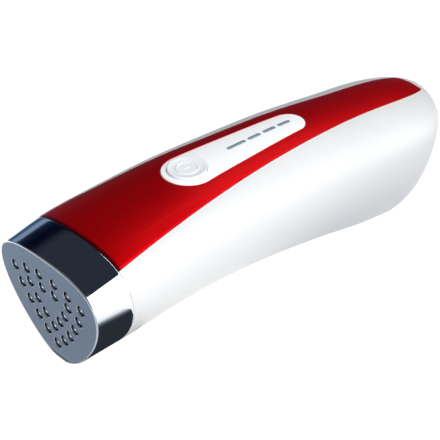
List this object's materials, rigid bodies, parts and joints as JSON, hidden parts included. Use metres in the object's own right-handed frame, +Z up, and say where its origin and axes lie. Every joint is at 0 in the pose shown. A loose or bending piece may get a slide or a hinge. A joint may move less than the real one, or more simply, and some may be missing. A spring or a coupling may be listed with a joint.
{
  "type": "facial care device",
  "caption": "Hand-held facial care device: arched handle, chrome-collared rounded triangular treatment head, drop-shaped control panel with a push button.",
  "frame": {"origin": "centre of the footprint box, on the table plane that the head's rim and the heel rest on", "axes": "-Y is the end with the treatment face, +Y the tail with the power socket, +X the device's right side seen from behind the face looking along +Y, +Z up"},
  "size_m": [0.0524, 0.1678, 0.0532],
  "materials": {
    "white_shell": "gloss white",
    "red_cover": "deep gloss red",
    "white_panel": "high gloss white",
    "white_button": "gloss white",
    "chrome": "mirror",
    "plate_grey": "satin blue-grey",
    "emitter_black": "dark, with pale lenses",
    "seal_black": "matt",
    "light_bar": "translucent grey-blue",
    "led": "clear resin",
    "board": "green solder mask",
    "black_plastic": "satin",
    "cream_plastic": "satin",
    "steel": "bright",
    "aluminium": "satin",
    "coil_copper": "enamelled copper",
    "lead_grey": "flat ribbon lead"
  },
  "bodies": {
    "device_body": {"treatment_plate": "plate_grey", "emitter_board": "emitter_black", "plate_seal": "seal_black", "chrome_collar": "chrome", "heat_spreader": "aluminium", "stack_screw_1": "steel", "stack_screw_2": "steel", "stack_screw_3": "steel", "temperature_sensor": "led", "thermal_cutout": "cream_plastic", "head_plug": "cream_plastic", "head_lead": "lead_grey", "button_lead": "lead_grey", "lower_shell": "white_shell", "top_cover": "red_cover", "control_panel": "white_panel", "light_bar_1": "light_bar", "light_bar_2": "light_bar", "light_bar_3": "light_bar", "light_bar_4": "light_bar", "indicator_led_1": "led", "indicator_led_2": "led", "indicator_led_3": "led", "indicator_led_4": "led", "switch_body": "black_plastic", "button_board": "board", "board_screw_1": "steel", "board_screw_2": "steel", "board_screw_3": "steel", "board_screw_4": "steel", "board_tray": "black_plastic", "main_board": "board", "tray_screw_1": "steel", "tray_screw_2": "steel", "tray_screw_3": "steel", "tray_screw_4": "steel", "control_chip": "black_plastic", "driver_chip": "black_plastic", "boost_coil": "coil_copper", "capacitor_1": "aluminium", "capacitor_2": "aluminium", "dc_inlet": "black_plastic"},
    "power_key": {"power_button": "white_button", "switch_plunger": "cream_plastic"}
  },
  "joints": [
    {"name": "power_button_press", "type": "slide", "parent": "device_body", "child": "power_key", "axis": [0, 0.0501, -0.9987], "range_m": [0, 0.0006], "stiffness_N_per_m": 800, "springref_m": -0.0004}
  ]
}
